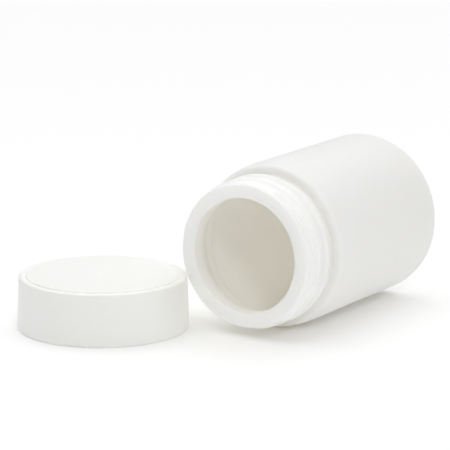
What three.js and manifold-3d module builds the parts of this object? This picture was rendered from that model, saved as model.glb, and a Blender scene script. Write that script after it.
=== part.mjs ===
// Wide-mouth tablet bottle lying on its side, with its two-shell screw cap standing beside it.
// Millimetres, +Z up. The bottle's axis lies along Y with the mouth facing -Y and the base +Y.
// The origin is the centre of the pair's footprint, on the surface they rest on.
import * as THREE from "three";
import { mergeVertices } from "three/addons/utils/BufferGeometryUtils.js";
import Module from "manifold-3d";

const wasm = await Module();
wasm.setup();

// ---- round pieces -------------------------------------------------------------------------
const turnSegments = 64; // facets round every turned piece, a multiple of four
const arcSteps = 3; // straight steps in each rounded corner of an outline

// ---- bottle -------------------------------------------------------------------------------
const bodyRadius = 29.2;
const bottleLength = 86.8;
const bodyWall = 1.1;
const baseWall = 1.5;
const baseCorner = 3.7; // radius between the side and the resting ring
const restingRing = 2.6; // width of the flat ring the bottle stands on
const pushUp = 2.0; // how far the middle of the base is set in
const pushUpFlat = 9.0; // radius of the level middle of the base

// ---- bottle neck, measured along the axis from the mouth ------------------------------------
const finishRadius = 25.2;
const landWidth = 5.0; // the ring the cap seals on, from the bore to the outside of the neck
const boreDepth = 7.8; // length of the straight bore behind the mouth
const neckWall = 1.2; // at the root of the neck, past the flare of the bore
const flareDrop = 4.1; // from the end of the flare to the root of the neck
const lipRound = 0.9;
const boreRound = 0.4;
const shoulderRound = 1.4; // between the level face of the shoulder and the side
const shoulderTaper = 0.6; // how much narrower the side is at the shoulder
const shoulderLength = 6.0; // how far along the side that taper reaches
const shoulderInsideRound = 1.7; // both corners of the wall behind the shoulder
const rootFillet = 0.7; // between the neck and the shoulder
const beadDrop = 3.2; // from the end of the thread to the middle of the bead
const beadHeight = 1.1;
const beadHalfWidth = 1.5;
const rootDrop = 3.6; // from the middle of the bead to the root of the neck

// ---- thread, on the neck and in the inner cap ---------------------------------------------
const threadPitch = 4.23;
const threadHeight = 1.0;
const threadHalfWidth = 1.15;
const threadStart = 2.6; // from the mouth to the middle of the first ridge
const threadTurns = 1.7;
const threadStartAngle = 22; // degrees from the top, clockwise when seen from the mouth
const capThreadTurns = 1.3;
const stepsPerTurn = 36;

// ---- cap: clearances and walls, worked outwards from the neck -----------------------------
const threadClearance = 0.25; // neck crest to the inner cap's wall
const innerCapWall = 1.15;
const shellClearance = 0.4; // inner cap to outer cap
const outerCapWall = 1.5;
const capDraft = 0.7; // how much the outer cap widens to its open end
const capFootHeight = 1.0; // the slightly proud foot of the skirt
const capFootProud = 0.12;
const capFootRound = 0.45;
const retainerHeight = 1.4; // inside bead that holds the inner cap in
const retainerAt = 1.35;
const retainerOverlap = 0.45; // how far it reaches under the inner cap
const stackGap = 0.3; // gap between pieces that rest on each other
const beadClearance = 1.35; // inner cap's edge to the neck's bead when the cap is screwed home
const innerCapTop = 1.2; // thickness of its top panel
const innerCapChamfer = 0.5;
const linerThickness = 1.0;
const linerClearance = 0.35; // liner edge to the inner cap's wall
const ceiling = 1.4; // thickness of the outer cap's top panel
const rimRound = 1.0;
const rimWidth = 2.4; // level ring between the side and the raised disc
const discRise = 0.25;
const discGroove = 0.45; // depth of the groove round the disc
const grooveWidth = 1.0;

// ---- drive lugs: outer cap drives the inner one only when it is pressed -------------------
const lugCount = 12;
const lugHeight = 1.0;
const lugGap = 0.45; // clear height between the two rings of lugs at rest
const lugEdge = 4.1; // from the ring of lugs to the outside of the inner cap
const lugLength = 8.5;
const lugCrest = 1.3; // width along the ring at the lug's crest
const lugRoot = 3.0; // width along the ring at the lug's root
const lugSink = 0.3; // how deep a lug is rooted in its panel

// ---- where the cap stands -----------------------------------------------------------------
const standGap = 0.5; // cap's side to the bottle's lip
const standAngle = 202; // degrees, direction from the lip to the cap's centre, in plan

// ---- sizes that follow ---------------------------------------------------------------------
const boreRadius = finishRadius - landWidth;
const flareRadius = finishRadius - neckWall;
const beadAt = threadStart + threadTurns * threadPitch + beadDrop; // all three from the mouth
const neckLength = beadAt + rootDrop;
const flareEnd = neckLength - flareDrop;
const threadCrest = finishRadius + threadHeight;
const innerCapBore = threadCrest + threadClearance;
const innerCapRadius = innerCapBore + innerCapWall;
const outerBoreTop = innerCapRadius + shellClearance;
const capTopRadius = outerBoreTop + outerCapWall;
const capBaseRadius = capTopRadius + capDraft;
const outerBoreBase = capBaseRadius - outerCapWall;
const innerCapBottom = retainerAt + retainerHeight / 2 + stackGap;
const innerCapDepth = beadAt - beadHalfWidth - beadClearance; // under the liner
const innerCapPanel = innerCapBottom + innerCapDepth + linerThickness + stackGap + innerCapTop;
const ceilingUnderside = innerCapPanel + lugHeight + lugGap + lugHeight;
const capHeight = ceilingUnderside + ceiling;
const linerTop = innerCapPanel - innerCapTop - stackGap;
const lugInner = innerCapRadius - lugEdge - lugLength;

const degrees = Math.PI / 180;

// ---- outline helpers ------------------------------------------------------------------------
// Points of an arc about (x, y) from one angle to another, in degrees, both ends included.
function arc(x, y, radius, from, to, radiusY = radius) {
  return Array.from({ length: arcSteps + 1 }, (_, i) => {
    const angle = (from + ((to - from) * i) / arcSteps) * degrees;
    return new THREE.Vector2(x + radius * Math.cos(angle), y + radiusY * Math.sin(angle));
  });
}

const point = (x, y) => [new THREE.Vector2(x, y)];

// ---- solids -----------------------------------------------------------------------------------
function solid(geometry) {
  const bare = geometry.clone();
  bare.deleteAttribute("normal");
  bare.deleteAttribute("uv");
  const merged = mergeVertices(bare, 1e-4);
  const mesh = new wasm.Mesh({
    numProp: 3,
    vertProperties: new Float32Array(merged.attributes.position.array),
    triVerts: new Uint32Array(merged.index.array),
  });
  return new wasm.Manifold(mesh);
}

function geometryOf(body) {
  const mesh = body.getMesh();
  const geometry = new THREE.BufferGeometry();
  geometry.setAttribute("position", new THREE.BufferAttribute(mesh.vertProperties, 3));
  geometry.setIndex(new THREE.BufferAttribute(mesh.triVerts, 1));
  geometry.computeVertexNormals();
  return geometry;
}

const turned = (outline) => solid(new THREE.LatheGeometry(outline, turnSegments));

// A right-hand helix about Y that starts at a height and an angle from Z, and runs up.
class Helix extends THREE.Curve {
  constructor(radius, start, pitch, turns, startAngle) {
    super();
    Object.assign(this, { radius, start, pitch, turns, startAngle });
  }

  getPoint(t, target = new THREE.Vector3()) {
    const angle = this.startAngle + t * this.turns * 2 * Math.PI;
    const height = this.start + t * this.turns * this.pitch;
    return target.set(this.radius * Math.sin(angle), height, this.radius * Math.cos(angle));
  }
}

// A thread ridge: an oval bar wound on the helix, half of it sunk in the wall it stands on.
function threadRidge(helix) {
  const section = new THREE.Shape();
  section.absellipse(0, 0, threadHalfWidth, threadHeight, 0, 2 * Math.PI);
  const bar = new THREE.ExtrudeGeometry(section, {
    extrudePath: helix,
    steps: Math.ceil(stepsPerTurn * helix.turns),
    curveSegments: arcSteps,
  });
  return solid(bar);
}

// One lug on a panel, pointing up the axis, at each place round the ring; ring turns it by a part pitch.
function lugs(height, direction, ring) {
  const section = new THREE.Shape([
    new THREE.Vector2(-lugRoot / 2, -lugSink),
    new THREE.Vector2(lugRoot / 2, -lugSink),
    new THREE.Vector2(lugCrest / 2, lugHeight),
    new THREE.Vector2(-lugCrest / 2, lugHeight),
  ]);
  return Array.from({ length: lugCount }, (_, i) => {
    const lug = new THREE.ExtrudeGeometry(section, { depth: lugLength, bevelEnabled: false });
    lug.translate(0, 0, lugInner);
    if (direction < 0) lug.rotateZ(Math.PI);
    lug.rotateY(((i + ring) / lugCount) * 2 * Math.PI);
    lug.translate(0, height, 0);
    return solid(lug);
  });
}

// ---- bottle -----------------------------------------------------------------------------------
function bottleOutside() {
  const ringOuter = bodyRadius - baseCorner;
  const ringInner = ringOuter - restingRing;
  const shoulder = neckLength + rootFillet;
  return [
    ...point(0, bottleLength - pushUp),
    ...point(pushUpFlat, bottleLength - pushUp),
    ...point(ringInner, bottleLength),
    ...arc(ringOuter, bottleLength - baseCorner, baseCorner, 90, 0),
    ...point(bodyRadius, shoulder + shoulderLength),
    ...arc(bodyRadius - shoulderTaper - shoulderRound, shoulder + shoulderRound, shoulderRound, 0, -90),
    ...arc(finishRadius + rootFillet, neckLength, rootFillet, 90, 180),
    ...arc(finishRadius, beadAt, beadHeight, 90, -90, beadHalfWidth),
    ...arc(finishRadius - lipRound, lipRound, lipRound, 0, -90),
  ];
}

function bottleInside() {
  const innerRadius = bodyRadius - bodyWall;
  const innerCorner = baseCorner - bodyWall;
  const floor = bottleLength - pushUp - baseWall;
  const cornerFloor = bottleLength - baseWall;
  const shoulder = neckLength + rootFillet + bodyWall;
  return [
    ...arc(boreRadius + boreRound, boreRound, boreRound, 270, 180),
    ...point(boreRadius, boreDepth),
    ...point(flareRadius, flareEnd),
    ...arc(flareRadius + shoulderInsideRound, shoulder - shoulderInsideRound, shoulderInsideRound, 180, 90),
    ...arc(innerRadius - shoulderTaper - shoulderInsideRound, shoulder + shoulderInsideRound,
      shoulderInsideRound, -90, 0),
    ...point(innerRadius, shoulder + shoulderLength),
    ...arc(innerRadius - innerCorner, cornerFloor - innerCorner, innerCorner, 0, 90),
    ...point(bodyRadius - baseCorner - restingRing, cornerFloor),
    ...point(pushUpFlat, floor),
    ...point(0, floor),
  ];
}

function bottle() {
  const outline = [...bottleOutside(), ...bottleInside()].reverse();
  const body = turned(outline);
  const helix = new Helix(finishRadius, threadStart, threadPitch, threadTurns, threadStartAngle * degrees);
  return geometryOf(body.add(threadRidge(helix)));
}

// ---- cap pieces, turned about their own axis, open end at zero ----------------------------------
function outerCapOutline() {
  const rimLevel = capHeight - discRise;
  const discRadius = capTopRadius - rimWidth;
  const bead = outerBoreBase - (innerCapRadius - retainerOverlap);
  return [
    ...point(0, ceilingUnderside),
    ...point(outerBoreTop, ceilingUnderside),
    ...arc(outerBoreBase, retainerAt, -bead, -90, 90, -retainerHeight / 2),
    ...point(outerBoreBase, 0),
    ...arc(capBaseRadius - capFootRound, capFootRound, capFootRound, -90, 0),
    ...point(capBaseRadius, capFootHeight),
    ...point(capBaseRadius - capFootProud, capFootHeight + capFootProud),
    ...arc(capTopRadius - rimRound, rimLevel - rimRound, rimRound, 0, 90),
    ...point(discRadius + grooveWidth, rimLevel),
    ...point(discRadius, rimLevel - discGroove),
    ...point(discRadius, capHeight),
    ...point(0, capHeight),
  ];
}

function outerCap() {
  const ring = lugs(ceilingUnderside, -1, 0);
  return geometryOf(ring.reduce((body, lug) => body.add(lug), turned(outerCapOutline())));
}

function innerCapOutline() {
  return [
    ...point(0, innerCapPanel - innerCapTop),
    ...point(innerCapBore, innerCapPanel - innerCapTop),
    ...point(innerCapBore, innerCapBottom),
    ...point(innerCapRadius, innerCapBottom),
    ...point(innerCapRadius, innerCapPanel - innerCapChamfer),
    ...point(innerCapRadius - innerCapChamfer, innerCapPanel),
    ...point(0, innerCapPanel),
  ];
}

function innerCap() {
  const start = innerCapBottom + threadHalfWidth + stackGap;
  const helix = new Helix(innerCapBore, start, threadPitch, capThreadTurns, 0);
  const shell = turned(innerCapOutline()).add(threadRidge(helix));
  const ring = lugs(innerCapPanel, 1, 1 / 2);
  return geometryOf(ring.reduce((body, lug) => body.add(lug), shell));
}

function liner() {
  const disc = new THREE.CylinderGeometry(
    innerCapBore - linerClearance, innerCapBore - linerClearance, linerThickness, turnSegments);
  disc.translate(0, linerTop - linerThickness / 2, 0);
  return geometryOf(solid(disc));
}

// ---- the assembly ---------------------------------------------------------------------------
function piece(name, geometry, color, roughness) {
  const mesh = new THREE.Mesh(geometry, new THREE.MeshStandardMaterial({ color, roughness, metalness: 0 }));
  mesh.name = name;
  return mesh;
}

// The cap's centre in plan, from the widest point of the lip at the height of the cap's top.
function capPlace() {
  const lipDrop = bodyRadius - capHeight;
  const lipReach = Math.sqrt(finishRadius ** 2 - lipDrop ** 2);
  const reach = capTopRadius + standGap;
  const direction = standAngle * degrees;
  return new THREE.Vector2(-lipReach + reach * Math.cos(direction), reach * Math.sin(direction));
}

const cap = capPlace();
const centre = new THREE.Vector2(
  (cap.x - capBaseRadius + bodyRadius) / 2,
  (cap.y - capBaseRadius + bottleLength) / 2,
);

const bottleGroup = new THREE.Group();
bottleGroup.position.set(-centre.x, -centre.y, bodyRadius);
bottleGroup.add(piece("bottle", bottle(), 0xf1f0eb, 0.45));

const capGroup = new THREE.Group();
capGroup.position.set(cap.x - centre.x, cap.y - centre.y, 0);
capGroup.rotation.x = Math.PI / 2;
capGroup.add(piece("outer_cap", outerCap(), 0xf3f3f1, 0.35));
capGroup.add(piece("inner_cap", innerCap(), 0xeeeeea, 0.4));
capGroup.add(piece("liner", liner(), 0xe8e6de, 0.8));

const vial = new THREE.Group();
vial.add(bottleGroup, capGroup);

export default vial;
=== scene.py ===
# A wide-mouth tablet bottle lying on its side, with its push-and-turn screw cap standing beside it.
# It is laid out as an add-on and run as a script. Everything is in metres, +Z up.
import math

import bmesh
import bpy
from bpy.props import FloatProperty, FloatVectorProperty, IntProperty, PointerProperty
from mathutils import Matrix, Vector, noise


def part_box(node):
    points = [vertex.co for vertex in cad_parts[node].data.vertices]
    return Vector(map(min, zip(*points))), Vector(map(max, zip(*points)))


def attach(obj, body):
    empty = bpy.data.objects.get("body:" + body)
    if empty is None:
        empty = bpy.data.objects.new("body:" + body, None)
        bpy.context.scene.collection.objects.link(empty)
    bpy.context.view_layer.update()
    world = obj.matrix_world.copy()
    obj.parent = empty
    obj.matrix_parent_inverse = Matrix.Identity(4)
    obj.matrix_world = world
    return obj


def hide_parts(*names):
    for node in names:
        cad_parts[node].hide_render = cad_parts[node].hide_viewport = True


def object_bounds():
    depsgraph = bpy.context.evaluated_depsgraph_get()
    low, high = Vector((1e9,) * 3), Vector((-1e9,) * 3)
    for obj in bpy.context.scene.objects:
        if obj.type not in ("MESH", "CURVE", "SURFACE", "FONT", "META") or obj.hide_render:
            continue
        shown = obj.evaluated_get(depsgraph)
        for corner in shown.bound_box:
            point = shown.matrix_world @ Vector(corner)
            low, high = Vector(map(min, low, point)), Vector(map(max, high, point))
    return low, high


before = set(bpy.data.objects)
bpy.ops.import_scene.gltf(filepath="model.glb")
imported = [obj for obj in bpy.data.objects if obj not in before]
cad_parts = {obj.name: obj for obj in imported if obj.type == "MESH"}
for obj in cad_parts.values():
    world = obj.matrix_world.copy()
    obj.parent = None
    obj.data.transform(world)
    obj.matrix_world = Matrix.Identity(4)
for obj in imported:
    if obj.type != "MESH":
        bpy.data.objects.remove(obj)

bl_info = {
    "name": "Tablet Bottle",
    "version": (1, 0, 0),
    "blender": (4, 5, 0),
    "location": "View3D > Sidebar > Tablet Bottle",
    "description": "Builds a wide-mouth tablet bottle and its two-shell screw cap",
    "category": "Add Mesh",
}

CAD_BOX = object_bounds()

# ---- places and overall sizes, from the frame -------------------------------------------------
BOTTLE_LOW, BOTTLE_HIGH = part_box("bottle")
CAP_LOW, CAP_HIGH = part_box("outer_cap")
INNER_LOW, INNER_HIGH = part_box("inner_cap")
LINER_LOW, LINER_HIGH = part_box("liner")

BOTTLE_MIDDLE = (BOTTLE_LOW + BOTTLE_HIGH) / 2
BOTTLE_MOUTH = Vector((BOTTLE_MIDDLE.x, BOTTLE_LOW.y, BOTTLE_MIDDLE.z))
CAP_MIDDLE = (CAP_LOW + CAP_HIGH) / 2
CAP_FOOT = Vector((CAP_MIDDLE.x, CAP_MIDDLE.y, CAP_LOW.z))
OBJECT_MIDDLE = (CAD_BOX[0] + CAD_BOX[1]) / 2

# ---- how finely the round pieces are made ------------------------------------------------------
TURN_STEPS = 240  # faces round every turned piece
ROUND_STEPS = 6  # faces across every rounded corner
HOLD = 0.00012  # distance of the row that keeps a level stretch level beside a rounding
WIDE_ROW = 0.003  # longest face along a plain wall
FINE_ROW = 0.00022  # longest face along a threaded wall
SHORTEST_SPLIT = 4 * HOLD  # a straight run no longer than this is left whole
WELD = 1e-7  # points closer than this become one
ON_WALL = 1e-6  # a point this close to a wall's radius lies on that wall
FLOOR_SIDES = 64  # sides of the floor's disc


# ================================================================================================
# Sizes and colours
# ================================================================================================
def distance(name, default, description):
    return FloatProperty(name=name, description=description, default=default, precision=5,
                         subtype="DISTANCE", unit="LENGTH")


def angle(name, default, description):
    return FloatProperty(name=name, description=description, default=math.radians(default),
                         subtype="ANGLE", unit="ROTATION")


def share(name, default, description):
    return FloatProperty(name=name, description=description, default=default, min=0, max=1,
                         subtype="FACTOR")


def count_of_turns(name, default, description):
    return FloatProperty(name=name, description=description, default=default, min=0)


def millimetres(name, default, description):
    return FloatProperty(name=name, description=description, default=default, unit="CAMERA")


def brightness(name, default, description):
    return FloatProperty(name=name, description=description, default=default)


def colour(name, default, description):
    return FloatVectorProperty(name=name, description=description, default=default, size=3,
                               min=0, max=1, subtype="COLOR")


class BottleSizes(bpy.types.PropertyGroup):
    body_radius: distance("Body radius", (BOTTLE_HIGH.x - BOTTLE_LOW.x) / 2, "Outside of the body")
    length: distance("Length", BOTTLE_HIGH.y - BOTTLE_LOW.y, "From the mouth to the resting ring")
    body_wall: distance("Body wall", 0.0011, "Thickness of the side")
    base_wall: distance("Base wall", 0.0015, "Thickness of the base")
    base_corner: distance("Base corner", 0.0037, "Radius between the side and the resting ring")
    resting_ring: distance("Resting ring", 0.0026, "Width of the level ring the bottle stands on")
    push_up: distance("Push-up", 0.002, "How far the middle of the base is set in")
    push_up_step: distance("Push-up step", 0.0008, "Depth of the step inside the resting ring")
    push_up_flat: distance("Push-up flat", 0.009, "Radius of the level middle of the base")
    gate_radius: distance("Gate radius", 0.0014, "Radius of the sprue mark in the middle of the base")
    gate_height: distance("Gate height", 0.0003, "Height of the sprue mark")
    shoulder_round: distance("Shoulder round", 0.0014, "Radius of the shoulder")
    shoulder_inside_round: distance("Shoulder inside round", 0.0017,
                                    "Radius of the corners behind the shoulder")
    shoulder_taper: distance("Shoulder taper", 0.0006, "How much narrower the body is at its shoulder")
    shoulder_length: distance("Shoulder length", 0.006, "How far down the body that taper reaches")
    waviness: distance("Waviness", 0.00005, "Depth of the wide, shallow waves of a blown wall")


class NeckSizes(bpy.types.PropertyGroup):
    radius: distance("Neck radius", 0.0252, "Outside of the neck between its ridges")
    length: distance("Neck length", 0.016591, "From the mouth to the root of the neck")
    land_width: distance("Land width", 0.005, "Width of the sealing ring round the mouth")
    lip_round: distance("Lip round", 0.0009, "Radius on the outside of the lip")
    bore_round: distance("Bore round", 0.0006, "Radius on the inside of the lip")
    bore_depth: distance("Bore depth", 0.0078, "Length of the straight bore")
    root_wall: distance("Root wall", 0.0012, "Thickness of the neck behind the flare of the bore")
    flare_drop: distance("Flare drop", 0.0041, "From the end of the flare to the root of the neck")
    root_fillet: distance("Root fillet", 0.0007, "Radius between the neck and the shoulder")
    bead_height: distance("Bead height", 0.0011, "How proud the bead under the thread is")
    bead_half_width: distance("Bead half width", 0.0015, "From the bead's crest to its foot")
    bead_drop: distance("Bead drop", 0.0036, "From the bead's crest to the root of the neck")


class ThreadSizes(bpy.types.PropertyGroup):
    pitch: distance("Pitch", 0.00423, "Rise of the thread in one turn")
    height: distance("Height", 0.001, "How proud the ridge is")
    half_width: distance("Half width", 0.00135, "From the ridge's crest to its foot")
    crest: distance("Crest", 0.00025, "Half the width of the level top of the ridge")
    start: distance("Start", 0.0026, "From the mouth to the crest of the first ridge")
    turns: count_of_turns("Turns", 1.7, "Turns of thread on the neck")
    start_angle: angle("Start angle", 22, "Where the thread starts, clockwise from the top")
    run_out: angle("Run-out", 5, "How far round the ridge takes to rise at each end")
    cap_turns: count_of_turns("Cap turns", 1.3, "Turns of thread in the cap")
    cap_start: distance("Cap start", 0.00145, "From the inner cap's edge to the crest of its thread")


class CapSizes(bpy.types.PropertyGroup):
    foot_radius: distance("Foot radius", (CAP_HIGH.x - CAP_LOW.x) / 2, "Outside of the open end")
    height: distance("Height", CAP_HIGH.z - CAP_LOW.z, "From the open end to the top of the disc")
    draft: distance("Draft", 0.0007, "How much narrower the top of the side is")
    wall: distance("Wall", 0.0015, "Thickness of the side")
    ceiling: distance("Ceiling", 0.0014, "Thickness of the top")
    foot_height: distance("Foot height", 0.001, "Height of the proud foot")
    foot_proud: distance("Foot proud", 0.00012, "How proud the foot is")
    foot_round: distance("Foot round", 0.00045, "Radius under the foot")
    rim_round: distance("Rim round", 0.001, "Radius between the side and the rim")
    rim_width: distance("Rim width", 0.0024, "From the side to the disc")
    disc_rise: distance("Disc rise", 0.00025, "How far the disc stands above the rim")
    disc_round: distance("Disc round", 0.00035, "Radius on the edge of the disc")
    groove_depth: distance("Groove depth", 0.00045, "Depth of the groove round the disc, below the rim")
    groove_width: distance("Groove width", 0.001, "Width of that groove")
    gate_radius: distance("Gate radius", 0.0011, "Radius of the sunken gate mark in the top")
    gate_depth: distance("Gate depth", 0.00012, "Depth of that mark")
    retainer_height: distance("Retainer height", 0.0014, "Height of the bead that holds the inner cap in")
    retainer_at: distance("Retainer place", 0.00135, "From the open end to the middle of that bead")
    retainer_overlap: distance("Retainer overlap", 0.00045, "How far it reaches under the inner cap")


class InnerCapSizes(bpy.types.PropertyGroup):
    radius: distance("Radius", (INNER_HIGH.x - INNER_LOW.x) / 2, "Outside of the inner cap")
    edge: distance("Edge", INNER_LOW.z - CAP_LOW.z, "Height of its open edge")
    crown: distance("Crown", INNER_HIGH.z - CAP_LOW.z, "Height of the tops of its lugs")
    wall: distance("Wall", 0.00115, "Thickness of its side")
    panel: distance("Panel", 0.0012, "Thickness of its top")
    chamfer: distance("Chamfer", 0.0005, "Rounding of its top edge")
    lug_height: distance("Lug height", 0.001, "How far the driving lugs stand up")
    lug_inner: distance("Lug inner radius", 0.015, "Inner end of the lugs")
    lug_outer: distance("Lug outer radius", 0.0235, "Outer end of the lugs")
    lug_count: IntProperty(name="Lugs", description="Lugs on each shell", default=12, min=3)
    lug_faces: IntProperty(name="Lug faces", description="Faces across the root of a lug", default=6, min=2)
    lug_crest: share("Lug crest", 0.43, "Width of a lug's crest as a share of its root")


class LinerSizes(bpy.types.PropertyGroup):
    radius: distance("Radius", (LINER_HIGH.x - LINER_LOW.x) / 2, "Outside of the liner")
    bottom: distance("Bottom", LINER_LOW.z - CAP_LOW.z, "Height of its lower face")
    top: distance("Top", LINER_HIGH.z - CAP_LOW.z, "Height of its upper face")
    edge_round: distance("Edge round", 0.00015, "Rounding of its cut edge")
    print_depth: distance("Print depth", 0.00006, "Depth of the ring that the lip has pressed in")


class Finishes(bpy.types.PropertyGroup):
    bottle: colour("Bottle", (0.993, 0.986, 0.96), "White blown bottle plastic")
    bottle_shade: colour("Bottle shade", (0.988, 0.98, 0.95), "Its slightly thicker, creamier patches")
    cap: colour("Cap", (0.966, 0.97, 0.942), "White moulded cap plastic")
    cap_shade: colour("Cap shade", (0.956, 0.96, 0.928), "Its cloudier patches")
    inner_cap: colour("Inner cap", (0.86, 0.86, 0.83), "White inner cap plastic")
    inner_cap_shade: colour("Inner cap shade", (0.84, 0.84, 0.8), "Its cloudier patches")
    foam: colour("Foam", (0.82, 0.81, 0.76), "Foamed liner")
    # Painted shade: the darker colour that stands in for shade inside the liner's cells, also used for its
    # random patches.
    foam_painted_cell_shade: colour("Foam shade", (0.74, 0.73, 0.68), "The insides of its open cells")


class StudioSettings(bpy.types.PropertyGroup):
    azimuth: angle("Azimuth", 32.586, "Camera's direction round the object, from the front")
    elevation: angle("Elevation", 12.736, "Camera's height above the horizon")
    range: distance("Range", 0.955, "From the camera to the point it looks at")
    aim: FloatVectorProperty(name="Aim", description="Point looked at, from the middle of the object",
                             default=(-0.0155, 0.0305, -0.0042), subtype="XYZ", unit="LENGTH")
    lens: millimetres("Lens", 208, "Focal length in millimetres")
    sensor: millimetres("Sensor", 36, "Sensor width in millimetres")
    horizon: brightness("Horizon light", 0.05, "Brightness of the room at eye level, away from the wall")
    zenith: brightness("Ceiling light", 1.67, "Brightness of the brightest part of the ceiling")
    backdrop: brightness("Wall light", 0.62, "Brightness that the low wall adds to the room's")
    backdrop_azimuth: angle("Wall azimuth", 140, "Direction of the middle of that wall")
    ceiling_azimuth: angle("Ceiling azimuth", 250, "Direction of the brightest part of the ceiling")
    ceiling_elevation: angle("Ceiling elevation", 81, "Height of that part above the horizon")
    key_azimuth: angle("Key azimuth", 44, "Direction of the soft box round the object")
    key_elevation: angle("Key elevation", 32, "Height of the soft box above the horizon")
    key_range: distance("Key range", 1.3, "From the soft box to the object")
    key_size: distance("Key size", 0.15, "Side of the square soft box")
    key_power: FloatProperty(name="Key power", description="Power of the soft box", default=2.1,
                             unit="POWER")
    floor: colour("Floor", (0.965, 0.965, 0.965), "Pale floor")
    floor_radius: distance("Floor radius", 8, "How far the floor reaches")


class TabletBottle(bpy.types.PropertyGroup):
    bottle: PointerProperty(type=BottleSizes)
    neck: PointerProperty(type=NeckSizes)
    thread: PointerProperty(type=ThreadSizes)
    cap: PointerProperty(type=CapSizes)
    inner_cap: PointerProperty(type=InnerCapSizes)
    liner: PointerProperty(type=LinerSizes)
    finishes: PointerProperty(type=Finishes)
    studio: PointerProperty(type=StudioSettings)


# ================================================================================================
# Materials
# ================================================================================================
SCUFF_TURN = (0.4, 0.9)  # angles about Y and Z by which the noise of the rub marks is turned
SCUFF_SQUEEZE = 14  # how many times narrower along Y than along X and Z a rub mark is
SCUFF_STEP = (0.62, 0.75)  # noise at which a rub mark starts and is full
SEAM_FADE = (0.0046, 0.0043)  # depths under the body's side between which the mould line comes in
SEAM_EDGE = 0.00022  # from the middle of the mould line to its foot
SEAM_CREST = 0.00004  # from the middle of the mould line to the edge of its level top
BLUSH_STEP = (0.007, 0.001)  # distances from the gate between which the blush rises
TOOTH_PAINTED_LIGHT = 1.01  # how much brighter the raised tooth of the floor's paper is painted: painted light on the tooth, painted shade in its hollows


class Signal:
    """A value or colour in a node tree. Arithmetic on it adds Math nodes."""

    def __init__(self, tree, socket):
        self.tree = tree
        self.socket = socket

    def node(self, kind, settings, inputs, output=0):
        return add_node(self.tree, kind, settings, inputs, output)

    def math(self, operation, *values):
        return self.node("ShaderNodeMath", {"operation": operation}, dict(enumerate(values)))

    def __add__(self, other):
        return self.math("ADD", self, other)

    def __radd__(self, other):
        return self.math("ADD", other, self)

    def __sub__(self, other):
        return self.math("SUBTRACT", self, other)

    def __rsub__(self, other):
        return self.math("SUBTRACT", other, self)

    def __mul__(self, other):
        return self.math("MULTIPLY", self, other)

    def __rmul__(self, other):
        return self.math("MULTIPLY", other, self)

    def __abs__(self):
        return self.math("ABSOLUTE", self)

    def noise(self, size, detail):
        """Even noise whose patches are about one size across, from a position."""
        inputs = {"Vector": self, "Scale": 1 / size, "Detail": detail}
        return self.node("ShaderNodeTexNoise", {}, inputs)

    def cells(self, size):
        """How far each place is from the middle of its cell, cells being about one size across."""
        return self.node("ShaderNodeTexVoronoi", {}, {"Vector": self, "Scale": 1 / size})

    def along(self, direction, origin):
        """Distance of a position from an origin, measured along a direction."""
        offset = self.node("ShaderNodeVectorMath", {"operation": "SUBTRACT"}, {0: self, 1: origin})
        return self.node("ShaderNodeVectorMath", {"operation": "DOT_PRODUCT"},
                         {0: offset, 1: direction}, "Value")

    def flattened(self, kept):
        """The position with the directions whose share is 0 taken out."""
        return self.node("ShaderNodeVectorMath", {"operation": "MULTIPLY"}, {0: self, 1: kept})

    def distance_from(self, point):
        """Distance of a position from a point."""
        return self.node("ShaderNodeVectorMath", {"operation": "DISTANCE"}, {0: self, 1: point}, "Value")

    def step(self, start, end):
        """Rises smoothly from 0 at the start to 1 at the end, or falls if they are the other way round."""
        inputs = {"Value": self, "From Min": start, "From Max": end}
        return self.node("ShaderNodeMapRange", {"interpolation_type": "SMOOTHSTEP"}, inputs)

    def between(self, first, second):
        """Colour that goes from the first to the second as this value goes from 0 to 1."""
        inputs = {0: self, 6: (*first, 1), 7: (*second, 1)}
        return self.node("ShaderNodeMix", {"data_type": "RGBA"}, inputs, 2)


def add_node(tree, kind, settings, inputs, output=0):
    """A new node with its settings made first, then its values and links; gives one of its outputs."""
    node = tree.nodes.new(kind)
    for name, value in settings.items():
        setattr(node, name, value)
    for key, value in inputs.items():
        if isinstance(value, Signal):
            tree.links.new(value.socket, node.inputs[key])
        else:
            node.inputs[key].default_value = value
    return Signal(tree, node.outputs[output])


def new_tree(name):
    material = bpy.data.materials.new(name)
    material.use_nodes = True
    material.node_tree.nodes.clear()
    return material, material.node_tree


def close_tree(tree, shader):
    output = tree.nodes.new("ShaderNodeOutputMaterial")
    tree.links.new(shader.socket, output.inputs["Surface"])


def position_in(tree):
    return add_node(tree, "ShaderNodeTexCoord", {}, {}, "Object")


def surface(tree, base, roughness, height, depth, **constants):
    """A surface from its colour, roughness and relief; the relief's depth is in metres."""
    bump = add_node(tree, "ShaderNodeBump", {}, {"Height": height, "Distance": depth, "Strength": 1.0})
    inputs = {"Base Color": base, "Roughness": roughness, "Normal": bump}
    inputs.update({name.replace("_", " "): value for name, value in constants.items()})
    close_tree(tree, add_node(tree, "ShaderNodeBsdfPrincipled", {}, inputs))


def scuffs(position, angle_about_x, size):
    """Fine, short rub marks that all run one way, 0 where there are none."""
    inputs = {
        "Vector": position,
        "Rotation": (angle_about_x, *SCUFF_TURN),
        "Scale": (1, SCUFF_SQUEEZE, 1),
    }
    return position.node("ShaderNodeMapping", {}, inputs).noise(size, detail=3).step(*SCUFF_STEP)


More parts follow.
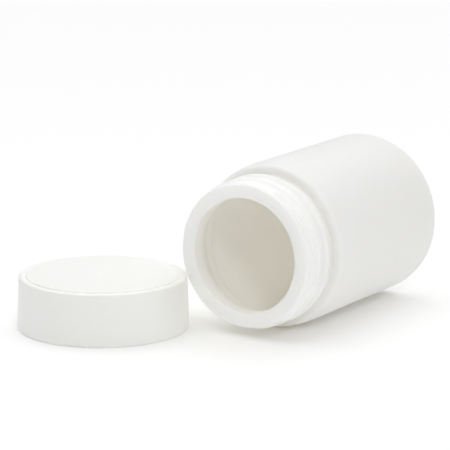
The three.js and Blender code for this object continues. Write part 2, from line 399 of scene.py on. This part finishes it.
def bottle_plastic(finishes, sizes, thread):
    """Opaque white blown plastic: satin, faintly uneven, with a fine mould line along each side."""
    material, tree = new_tree("bottle_plastic")
    position = position_in(tree)
    patches = position.noise(0.022, detail=3)
    fine = position.noise(0.0011, detail=2)
    soft = position.noise(0.006, detail=1)
    seam_normal = (math.cos(thread.start_angle), 0, -math.sin(thread.start_angle))
    from_seam = abs(position.along(seam_normal, BOTTLE_MOUTH))
    axis = (BOTTLE_MOUTH.x, 0, BOTTLE_MOUTH.z)
    radius = position.flattened((1, 0, 1)).distance_from(axis)
    fade_start, fade_end = SEAM_FADE
    clear_of_bore = radius.step(sizes.body_radius - fade_start, sizes.body_radius - fade_end)
    seam = from_seam.step(SEAM_EDGE, SEAM_CREST) * clear_of_bore
    rubbed = scuffs(position, 0.3, 0.004)
    surface(
        tree,
        base=patches.between(finishes.bottle, finishes.bottle_shade),
        roughness=0.4 + patches * 0.08 + fine * 0.05 - rubbed * 0.05,
        height=fine * 0.35 + soft * 0.65 + seam * 1.6,
        depth=0.000012,
        IOR=1.5,
        Subsurface_Weight=0.75,
        Subsurface_Radius=(1.0, 0.92, 0.8),
        Subsurface_Scale=0.006,
    )
    return material


def cap_plastic(finishes):
    """Opaque white moulded plastic: smoother than the bottle, cloudier where it flowed from the gate."""
    material, tree = new_tree("cap_plastic")
    position = position_in(tree)
    from_gate = position.flattened((1, 1, 0)).distance_from((CAP_MIDDLE.x, CAP_MIDDLE.y, 0))
    flow = position.noise(0.009, detail=4)
    blush = from_gate.step(*BLUSH_STEP) * 0.4
    fine = position.noise(0.0008, detail=2)
    soft = position.noise(0.005, detail=1)
    rubbed = scuffs(position, 1.2, 0.003)
    surface(
        tree,
        base=(flow * 0.7 + blush).between(finishes.cap, finishes.cap_shade),
        roughness=0.33 + flow * 0.06 + blush * 0.08 + fine * 0.04 - rubbed * 0.05,
        height=fine * 0.4 + soft * 0.6,
        depth=0.000008,
        IOR=1.49,
        Subsurface_Weight=0.08,
        Subsurface_Radius=(1.0, 0.9, 0.75),
        Subsurface_Scale=0.0012,
    )
    return material


def inner_cap_plastic(finishes):
    """The plain, slightly milky plastic of the inner cap, with the drag marks of its mould core."""
    material, tree = new_tree("inner_cap_plastic")
    position = position_in(tree)
    flow = position.noise(0.008, detail=3)
    fine = position.noise(0.0009, detail=3)
    stretched = position.node("ShaderNodeMapping", {}, {"Vector": position, "Scale": (1, 1, 0.08)})
    drag = stretched.noise(0.0012, detail=2)
    surface(
        tree,
        base=flow.between(finishes.inner_cap, finishes.inner_cap_shade),
        roughness=0.36 + flow * 0.08 + drag * 0.06,
        height=fine * 0.4 + drag * 0.6,
        depth=0.00001,
        IOR=1.49,
        Subsurface_Weight=0.15,
        Subsurface_Radius=(1.0, 0.9, 0.75),
        Subsurface_Scale=0.002,
    )
    return material


def liner_foam(finishes):
    """Foamed white sheet: dull, with fine closed cells and a few larger ones; its colour is darkened over
    the cells as painted shade, and in random patches.
    """
    material, tree = new_tree("liner_foam")
    position = position_in(tree)
    cells = position.cells(0.00035)
    large = position.cells(0.0011).step(0.42, 0.6)
    patches = position.noise(0.004, detail=3)
    surface(
        tree,
        # Painted shade over the fine and the larger cells, mixed with random darker patches that are the
        # foam's own.
        base=(cells * 0.7 + large * 0.3 + patches * 0.2).between(finishes.foam, finishes.foam_painted_cell_shade),
        roughness=0.74 + cells * 0.12,
        height=cells * 0.7 + large * 0.5,
        depth=0.00004,
        IOR=1.45,
        Subsurface_Weight=0.2,
        Subsurface_Radius=(1.0, 0.95, 0.85),
        Subsurface_Scale=0.001,
    )
    return material


def floor_paper(shade):
    """Matt studio paper with a barely visible tooth, the tooth painted a touch brighter than its hollows as
    painted light and shade.
    """
    material, tree = new_tree("floor_paper")
    position = position_in(tree)
    tooth = position.noise(0.0015, detail=2)
    painted_tooth_light = [min(1, value * TOOTH_PAINTED_LIGHT) for value in shade]
    surface(
        tree,
        # Painted light and shade: the raised tooth takes the brighter colour, the hollows keep the paper's
        # own.
        base=tooth.between(shade, painted_tooth_light),
        roughness=0.95 + tooth * 0.04,
        height=tooth,
        depth=0.000005,
        Specular_IOR_Level=0.0,
    )
    return material


# ================================================================================================
# Turned pieces
# ================================================================================================
def drawn_line(corners):
    """A bmesh of one line through corners of (radius, height, rounding), each corner rounded."""
    bm = bmesh.new()
    verts = [bm.verts.new((radius, 0, height)) for radius, height, _ in corners]
    for start, end in zip(verts, verts[1:]):
        bm.edges.new((start, end))
    for vert, (_, _, rounding) in zip(verts, corners):
        if rounding > 0:
            bmesh.ops.bevel(bm, geom=[vert], offset=rounding, offset_type="OFFSET", affect="VERTICES",
                            segments=ROUND_STEPS, profile=0.5, material=-1)
    return bm


def add_rows(bm, is_fine):
    """Splits the long straight runs: a row close to each end, and rows no further apart than needed."""
    for edge in [e for e in bm.edges if e.calc_length() > SHORTEST_SPLIT]:
        length = edge.calc_length()
        start, end = edge.verts
        middle, held = bmesh.utils.edge_split(edge, start, HOLD / length)
        rest = middle if end in middle.verts else edge
        far, _ = bmesh.utils.edge_split(rest, held, 1 - HOLD / (length - HOLD))
        for part in (edge, middle, far):
            row = FINE_ROW if is_fine(part) else WIDE_ROW
            cuts = math.ceil(part.calc_length() / row) - 1
            if cuts > 0:
                bmesh.ops.subdivide_edges(bm, edges=[part], cuts=cuts)


def turn(bm):
    """Spins the line into a closed shell about Z, with its seam and poles closed and its faces outwards."""
    bmesh.ops.spin(bm, geom=bm.verts[:] + bm.edges[:], cent=(0, 0, 0), axis=(0, 0, 1), dvec=(0, 0, 0),
                   angle=math.tau, steps=TURN_STEPS, use_merge=True, use_duplicate=False)
    bmesh.ops.remove_doubles(bm, verts=bm.verts, dist=WELD)
    bmesh.ops.recalc_face_normals(bm, faces=bm.faces)


def turned(corners, is_fine=lambda edge: False):
    bm = drawn_line(corners)
    add_rows(bm, is_fine)
    turn(bm)
    return bm


def radius_of(vert):
    return math.hypot(vert.co.x, vert.co.y)


def move_out(vert, amount):
    """Moves a point away from the Z axis, or towards it if the amount is negative."""
    radius = radius_of(vert)
    vert.co.x *= (radius + amount) / radius
    vert.co.y *= (radius + amount) / radius


def smooth(value):
    """Rises smoothly from 0 to 1 as the value does."""
    value = min(max(value, 0), 1)
    return value * value * (3 - 2 * value)


def ridge(offset, crest, half_width):
    """Height of a rounded ridge, from 0 to 1, at an offset from the middle of its crest."""
    return 1 - smooth((abs(offset) - crest) / (half_width - crest))


def thread_height(turned_by, height, start, turns, thread):
    """Height of the thread's ridge at a place, from 0 to 1. turned_by is the angle past the start."""
    highest = 0
    for whole in range(-1, math.ceil(turns) + 1):
        wound = turned_by / math.tau + whole
        run_out = thread.run_out / math.tau
        ends = smooth(wound / run_out) * smooth((turns - wound) / run_out)
        offset = height - start - wound * thread.pitch
        highest = max(highest, ends * ridge(offset, thread.crest, thread.half_width))
    return highest


def lugs(bm, sizes, height, direction, first_face):
    """Raises the driving lugs from a level face of the shell, each narrower at its crest."""
    pitch = TURN_STEPS // sizes.lug_count
    face_angle = math.tau / TURN_STEPS
    chosen = []
    for face in bm.faces:
        centre = face.calc_center_median()
        radius = math.hypot(centre.x, centre.y)
        if abs(centre.z - height) > ON_WALL or not sizes.lug_inner < radius < sizes.lug_outer:
            continue
        number = math.floor(math.atan2(centre.y, centre.x) / face_angle)
        if (number - first_face + sizes.lug_faces // 2) % pitch < sizes.lug_faces:
            chosen.append(face)
    raised = bmesh.ops.extrude_face_region(bm, geom=chosen)["geom"]
    bmesh.ops.delete(bm, geom=chosen, context="FACES")
    for vert in [v for v in raised if isinstance(v, bmesh.types.BMVert)]:
        at = math.atan2(vert.co.y, vert.co.x) / face_angle
        middle = round((at - first_face) / pitch) * pitch + first_face
        pinch = (middle - at) * (1 - sizes.lug_crest) * face_angle
        vert.co.rotate(Matrix.Rotation(pinch, 3, "Z"))
        vert.co.z += direction * sizes.lug_height


def finish_piece(bm, name, body, node, material, placed):
    """Moves the shape to its place, makes it an object with its material, ties it to its body, and hides
    the CAD node it stands in for.
    """
    bmesh.ops.transform(bm, matrix=placed, verts=bm.verts)
    for face in bm.faces:
        face.smooth = True
    mesh = bpy.data.meshes.new(name)
    bm.to_mesh(mesh)
    bm.free()
    mesh.materials.append(material)
    piece = bpy.data.objects.new(name, mesh)
    bpy.context.scene.collection.objects.link(piece)
    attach(piece, body)
    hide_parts(node)


# ================================================================================================
# Bottle
# ================================================================================================
PUSH_UP_ROUND = 0.003  # rounding round the level middle of the base
RING_SLOPE = 0.0015  # width of the slope from the resting ring in to the step inside it
STEP_ROUND = 0.0006  # rounding at the inner end of that slope
RING_ROUND = 0.0005  # rounding on the inner edge of the resting ring
FLOOR_ROUND = 0.001  # rounding of the floor over the inner edge of the resting ring
TAPER_ROUND = 0.6  # rounding where the shoulder's taper ends, as a share of its length
FLARE_START_ROUND = 0.0036  # rounding where the bore starts to flare
FLARE_END_ROUND = 0.0018  # rounding where the flare ends
BEAD_CREST = 0.0002  # half the width of the level top of the bead
WAVE_SIZE = 0.019  # about the distance between the waves of the blown wall, round the bottle
WAVE_STRETCH = 0.6  # that distance as a share of the distance along the bottle
LAID_DOWN = Matrix.Rotation(math.radians(-90), 4, "X")  # turns the base away from the front


def base_corners(sizes):
    """Outside of the base, from its middle to the side."""
    ring_outer = sizes.body_radius - sizes.base_corner
    ring_inner = ring_outer - sizes.resting_ring
    inset = sizes.length - sizes.push_up
    step = sizes.length - sizes.push_up_step
    gate_round = sizes.gate_height / 2
    return [
        (0, inset + sizes.gate_height, 0),
        (sizes.gate_radius, inset + sizes.gate_height, gate_round),
        (sizes.gate_radius + sizes.gate_height, inset, gate_round),
        (sizes.push_up_flat, inset, PUSH_UP_ROUND),
        (ring_inner - RING_SLOPE, step, STEP_ROUND),
        (ring_inner, sizes.length, RING_ROUND),
        (sizes.body_radius, sizes.length, sizes.base_corner),
    ]


def neck_outside_corners(sizes, neck):
    """From the body over the shoulder and along the neck to the mouth."""
    shoulder = neck.length + neck.root_fillet
    return [
        (sizes.body_radius, shoulder + sizes.shoulder_length, sizes.shoulder_length * TAPER_ROUND),
        (sizes.body_radius - sizes.shoulder_taper, shoulder, sizes.shoulder_round),
        (neck.radius, shoulder, neck.root_fillet),
        (neck.radius, 0, neck.lip_round),
    ]


def inside_corners(sizes, neck):
    """From the mouth down the bore, out into the body, and over the floor to its middle."""
    bore = neck.radius - neck.land_width
    flared = neck.radius - neck.root_wall
    inner = sizes.body_radius - sizes.body_wall
    shoulder = neck.length + neck.root_fillet + sizes.body_wall
    floor = sizes.length - sizes.base_wall
    return [
        (bore, 0, neck.bore_round),
        (bore, neck.bore_depth, FLARE_START_ROUND),
        (flared, neck.length - neck.flare_drop, FLARE_END_ROUND),
        (flared, shoulder, sizes.shoulder_inside_round),
        (inner - sizes.shoulder_taper, shoulder, sizes.shoulder_inside_round),
        (inner, shoulder + sizes.shoulder_length, sizes.shoulder_length * TAPER_ROUND),
        (inner, floor, sizes.base_corner - sizes.body_wall),
        (sizes.body_radius - sizes.base_corner - sizes.resting_ring, floor, FLOOR_ROUND),
        (sizes.push_up_flat, floor - sizes.push_up, PUSH_UP_ROUND),
        (0, floor - sizes.push_up, 0),
    ]


def shape_neck(bm, neck, thread):
    """Raises the thread and the bead from the plain outside of the neck."""
    bead_at = neck.length - neck.bead_drop
    for vert in bm.verts:
        if abs(radius_of(vert) - neck.radius) > ON_WALL:
            continue
        height = vert.co.z
        past_start = (math.atan2(vert.co.x, -vert.co.y) - thread.start_angle) % math.tau
        rise = thread.height * thread_height(past_start, height, thread.start, thread.turns, thread)
        bead = neck.bead_height * ridge(height - bead_at, BEAD_CREST, neck.bead_half_width)
        move_out(vert, max(rise, bead))


def wave_walls(bm, sizes):
    """Draws the side in a little, unevenly, as a blown wall shrinks."""
    outer = sizes.body_radius
    inner = sizes.body_radius - sizes.body_wall
    for vert in bm.verts:
        radius = radius_of(vert)
        if abs(radius - outer) < ON_WALL or abs(radius - inner) < ON_WALL:
            spot = Vector((vert.co.x, vert.co.y, vert.co.z * WAVE_STRETCH)) / WAVE_SIZE
            move_out(vert, -sizes.waviness * (0.5 + 0.5 * noise.noise(spot)))


class AddBottle(bpy.types.Operator):
    """Builds the blown bottle with its threaded neck, open mouth and set-in base"""

    bl_idname = "tablet_bottle.add_bottle"
    bl_label = "Bottle"

    def execute(self, context):
        settings = context.scene.tablet_bottle
        sizes, neck, thread = settings.bottle, settings.neck, settings.thread
        corners = base_corners(sizes) + neck_outside_corners(sizes, neck) + inside_corners(sizes, neck)

        def on_neck(edge):
            return all(abs(vert.co.x - neck.radius) < ON_WALL for vert in edge.verts)

        bm = turned(corners, on_neck)
        shape_neck(bm, neck, thread)
        wave_walls(bm, sizes)
        placed = Matrix.Translation(BOTTLE_MOUTH) @ LAID_DOWN
        material = bottle_plastic(settings.finishes, sizes, thread)
        finish_piece(bm, "bottle_shell", "bottle", "bottle", material, placed)
        return {"FINISHED"}


# ================================================================================================
# Cap
# ================================================================================================
CEILING_ROUND = 0.0005  # rounding between the ceiling and the bore
RETAINER_ROUND = 0.0002  # rounding of the bead that holds the inner cap in
FOOT_INSIDE_ROUND = 0.00025  # rounding inside the open end
FOOT_STEP_ROUND = 0.0001  # rounding of the step above the foot
GROOVE_ROUND = 0.0002  # rounding of the outer side of the groove round the disc
GROOVE_CORNER = 0.0001  # rounding of the groove's corner under the disc
PANEL_ROUND = 0.0003  # rounding between the inner cap's panel and its bore
EDGE_ROUND = 0.0002  # rounding of the inner cap's open edge
PRINT_SLOPE = 0.0003  # width of each side of the ring pressed in the liner
PRINT_ROUND = 0.00012  # rounding of that ring's corners


def cap_corners(cap, inner):
    """Outer shell of the cap, from the middle of its ceiling, round the open end, to the middle on top."""
    ceiling = cap.height - cap.ceiling
    bore_top = cap.foot_radius - cap.draft - cap.wall
    bore_base = cap.foot_radius - cap.wall
    retainer = inner.radius - cap.retainer_overlap
    low = cap.retainer_at - cap.retainer_height / 2
    high = cap.retainer_at + cap.retainer_height / 2
    half_crest = cap.retainer_height / 6
    side_foot = cap.foot_radius - cap.foot_proud
    rim = cap.height - cap.disc_rise
    top_radius = cap.foot_radius - cap.draft
    disc = top_radius - cap.rim_width
    return [
        (0, ceiling, 0),
        (inner.lug_inner, ceiling, 0),
        (inner.lug_outer, ceiling, 0),
        (bore_top, ceiling, CEILING_ROUND),
        (bore_base, high, RETAINER_ROUND),
        (retainer, cap.retainer_at + half_crest, RETAINER_ROUND),
        (retainer, cap.retainer_at - half_crest, RETAINER_ROUND),
        (bore_base, low, RETAINER_ROUND),
        (bore_base, 0, FOOT_INSIDE_ROUND),
        (cap.foot_radius, 0, cap.foot_round),
        (cap.foot_radius, cap.foot_height, FOOT_STEP_ROUND),
        (side_foot, cap.foot_height + cap.foot_proud, FOOT_STEP_ROUND),
        (top_radius, rim, cap.rim_round),
        (disc + cap.groove_width, rim, GROOVE_ROUND),
        (disc + cap.groove_width / 2, rim - cap.groove_depth, GROOVE_ROUND),
        (disc, rim - cap.groove_depth, GROOVE_CORNER),
        (disc, cap.height, cap.disc_round),
        (cap.gate_radius + cap.gate_depth, cap.height, cap.gate_depth),
        (cap.gate_radius, cap.height - cap.gate_depth, cap.gate_depth),
        (0, cap.height - cap.gate_depth, 0),
    ]


class AddOuterCap(bpy.types.Operator):
    """Builds the outer shell of the cap with its raised disc, groove, rim and foot"""

    bl_idname = "tablet_bottle.add_outer_cap"
    bl_label = "Outer cap"

    def execute(self, context):
        settings = context.scene.tablet_bottle
        cap, inner = settings.cap, settings.inner_cap
        bm = turned(cap_corners(cap, inner))
        lugs(bm, inner, cap.height - cap.ceiling, -1, 0)
        material = cap_plastic(settings.finishes)
        finish_piece(bm, "cap_shell", "outer_cap", "outer_cap", material,
                     Matrix.Translation(CAP_FOOT))
        return {"FINISHED"}


def inner_cap_corners(inner):
    """Inner shell of the cap, from the middle under its panel over the open edge to the middle on top."""
    top = inner.crown - inner.lug_height
    bore = inner.radius - inner.wall
    return [
        (0, top - inner.panel, 0),
        (bore, top - inner.panel, PANEL_ROUND),
        (bore, inner.edge, EDGE_ROUND),
        (inner.radius, inner.edge, EDGE_ROUND),
        (inner.radius, top, inner.chamfer),
        (inner.lug_outer, top, 0),
        (inner.lug_inner, top, 0),
        (0, top, 0),
    ]


class AddInnerCap(bpy.types.Operator):
    """Builds the threaded inner shell of the cap with its driving lugs"""

    bl_idname = "tablet_bottle.add_inner_cap"
    bl_label = "Inner cap"

    def execute(self, context):
        settings = context.scene.tablet_bottle
        inner, thread = settings.inner_cap, settings.thread
        bore = inner.radius - inner.wall

        def on_bore(edge):
            return all(abs(vert.co.x - bore) < ON_WALL for vert in edge.verts)

        bm = turned(inner_cap_corners(inner), on_bore)
        start = inner.edge + thread.cap_start
        for vert in bm.verts:
            if abs(radius_of(vert) - bore) < ON_WALL:
                past_front = (math.atan2(vert.co.y, vert.co.x) + math.radians(90)) % math.tau
                rise = thread_height(past_front, vert.co.z, start, thread.cap_turns, thread)
                move_out(vert, -thread.height * rise)
        lugs(bm, inner, inner.crown - inner.lug_height, 1, TURN_STEPS // inner.lug_count // 2)
        material = inner_cap_plastic(settings.finishes)
        finish_piece(bm, "inner_cap_shell", "inner_cap", "inner_cap", material,
                     Matrix.Translation(CAP_FOOT))
        return {"FINISHED"}


class AddLiner(bpy.types.Operator):
    """Builds the foamed sealing liner, with the faint ring that the bottle's lip has pressed in it"""

    bl_idname = "tablet_bottle.add_liner"
    bl_label = "Liner"

    def execute(self, context):
        settings = context.scene.tablet_bottle
        liner, neck = settings.liner, settings.neck
        print_inner = neck.radius - neck.land_width + neck.bore_round
        print_outer = neck.radius - neck.lip_round
        pressed = liner.bottom + liner.print_depth
        bm = turned([
            (0, liner.bottom, 0),
            (print_inner - PRINT_SLOPE, liner.bottom, PRINT_ROUND),
            (print_inner, pressed, PRINT_ROUND),
            (print_outer, pressed, PRINT_ROUND),
            (print_outer + PRINT_SLOPE, liner.bottom, PRINT_ROUND),
            (liner.radius, liner.bottom, liner.edge_round),
            (liner.radius, liner.top, liner.edge_round),
            (0, liner.top, 0),
        ])
        material = liner_foam(settings.finishes)
        finish_piece(bm, "liner_disc", "liner", "liner", material,
                     Matrix.Translation(CAP_FOOT))
        return {"FINISHED"}


# ================================================================================================
# Studio
# ================================================================================================
CEILING_FADE = (0.3, 1)  # cosines, from the brightest part, at which the ceiling starts and is full
WALL_FADE = (0, 0.5)  # cosines, from the middle of the low wall, at which it starts and is full
WALL_TOP = (0.7, 0.2)  # sines of the heights at which that wall starts and is full
NEAR_CLIP = 0.1  # nearest distance the camera shows, as a share of its range
FAR_CLIP = 4  # furthest distance it shows, as a multiple of the floor's radius
LIGHT_BOUNCES = 40  # light has to reach the bottom of a near-white bore


def direction_from(azimuth, elevation):
    """Unit vector towards a place at an azimuth, 0 in front and growing to the right, and an elevation."""
    level = math.cos(elevation)
    return Vector((math.sin(azimuth) * level, -math.cos(azimuth) * level, math.sin(elevation)))


def add_camera(context, studio):
    aim = OBJECT_MIDDLE + Vector(studio.aim)
    back = direction_from(studio.azimuth, studio.elevation)
    data = bpy.data.cameras.new("camera")
    data.lens = studio.lens
    data.sensor_width = studio.sensor
    data.clip_start = studio.range * NEAR_CLIP
    data.clip_end = studio.floor_radius * FAR_CLIP
    camera = bpy.data.objects.new("camera", data)
    camera.location = aim + back * studio.range
    camera.rotation_euler = (-back).to_track_quat("-Z", "Y").to_euler()
    context.scene.collection.objects.link(camera)
    context.scene.camera = camera


def add_key(context, studio):
    back = direction_from(studio.key_azimuth, studio.key_elevation)
    data = bpy.data.lights.new("key", "AREA")
    data.shape = "SQUARE"
    data.size = studio.key_size
    data.energy = studio.key_power
    key = bpy.data.objects.new("key", data)
    key.location = OBJECT_MIDDLE + back * studio.key_range
    key.rotation_euler = (-back).to_track_quat("-Z", "Y").to_euler()
    context.scene.collection.objects.link(key)


def add_room(context, studio):
    """A ceiling brightest a little behind and to the left of overhead, and a low wall on the right.

    The wall reaches round behind the object. The camera itself sees plain white.
    """
    world = bpy.data.worlds.new("room")
    world.use_nodes = True
    tree = world.node_tree
    tree.nodes.clear()
    direction = add_node(tree, "ShaderNodeTexCoord", {}, {}, "Generated")
    up = add_node(tree, "ShaderNodeSeparateXYZ", {}, {0: direction}, "Z")
    towards_wall = direction.along(direction_from(studio.backdrop_azimuth, 0), (0, 0, 0))
    brightest = direction_from(studio.ceiling_azimuth, studio.ceiling_elevation)
    towards_ceiling = direction.along(brightest, (0, 0, 0))
    ceiling = towards_ceiling.step(*CEILING_FADE) * (studio.zenith - studio.horizon)
    wall = towards_wall.step(*WALL_FADE) * up.step(*WALL_TOP) * studio.backdrop
    seen = add_node(tree, "ShaderNodeLightPath", {}, {}, "Is Camera Ray")
    strength = (studio.horizon + ceiling + wall) * (1 - seen) + seen
    light = add_node(tree, "ShaderNodeBackground", {}, {"Color": (1, 1, 1, 1), "Strength": strength})
    output = tree.nodes.new("ShaderNodeOutputWorld")
    tree.links.new(light.socket, output.inputs["Surface"])
    context.scene.world = world


def add_floor(context, studio):
    bm = bmesh.new()
    bmesh.ops.create_circle(bm, cap_ends=True, segments=FLOOR_SIDES, radius=studio.floor_radius)
    mesh = bpy.data.meshes.new("floor")
    bm.to_mesh(mesh)
    bm.free()
    mesh.materials.append(floor_paper(list(studio.floor)))
    floor = bpy.data.objects.new("floor", mesh)
    context.scene.collection.objects.link(floor)


class AddStudio(bpy.types.Operator):
    """Adds the pale floor, the soft light and the camera"""

    bl_idname = "tablet_bottle.add_studio"
    bl_label = "Studio"

    def execute(self, context):
        studio = context.scene.tablet_bottle.studio
        add_floor(context, studio)
        add_room(context, studio)
        add_key(context, studio)
        add_camera(context, studio)
        context.scene.view_settings.view_transform = "Standard"
        context.scene.cycles.diffuse_bounces = LIGHT_BOUNCES
        context.scene.cycles.max_bounces = LIGHT_BOUNCES
        return {"FINISHED"}


# ================================================================================================
# Panel and registration
# ================================================================================================
class TabletBottlePanel(bpy.types.Panel):
    """Lists the pieces of the bottle, each made by its button from the sizes above it"""

    bl_idname = "VIEW3D_PT_tablet_bottle"
    bl_label = "Tablet Bottle"
    bl_space_type = "VIEW_3D"
    bl_region_type = "UI"
    bl_category = "Tablet Bottle"

    def draw(self, context):
        settings = context.scene.tablet_bottle
        for groups, operator in PANEL_ROWS:
            box = self.layout.box()
            for group in groups:
                for name in getattr(settings, group).__annotations__:
                    box.prop(getattr(settings, group), name)
            box.operator(operator.bl_idname)
        finishes = self.layout.box()
        for name in Finishes.__annotations__:
            finishes.prop(settings.finishes, name)


PANEL_ROWS = (
    (("bottle", "neck", "thread"), AddBottle),
    (("cap",), AddOuterCap),
    (("inner_cap",), AddInnerCap),
    (("liner",), AddLiner),
    (("studio",), AddStudio),
)

CLASSES = (
    BottleSizes, NeckSizes, ThreadSizes, CapSizes, InnerCapSizes, LinerSizes, Finishes, StudioSettings,
    TabletBottle, AddBottle, AddOuterCap, AddInnerCap, AddLiner, AddStudio, TabletBottlePanel,
)


def register():
    for each in CLASSES:
        bpy.utils.register_class(each)
    bpy.types.Scene.tablet_bottle = PointerProperty(type=TabletBottle)


def unregister():
    del bpy.types.Scene.tablet_bottle
    for each in reversed(CLASSES):
        bpy.utils.unregister_class(each)


def main():
    register()
    bpy.ops.tablet_bottle.add_studio()
    bpy.ops.tablet_bottle.add_bottle()
    bpy.ops.tablet_bottle.add_outer_cap()
    bpy.ops.tablet_bottle.add_inner_cap()
    bpy.ops.tablet_bottle.add_liner()


if __name__ == "__main__":
    main()
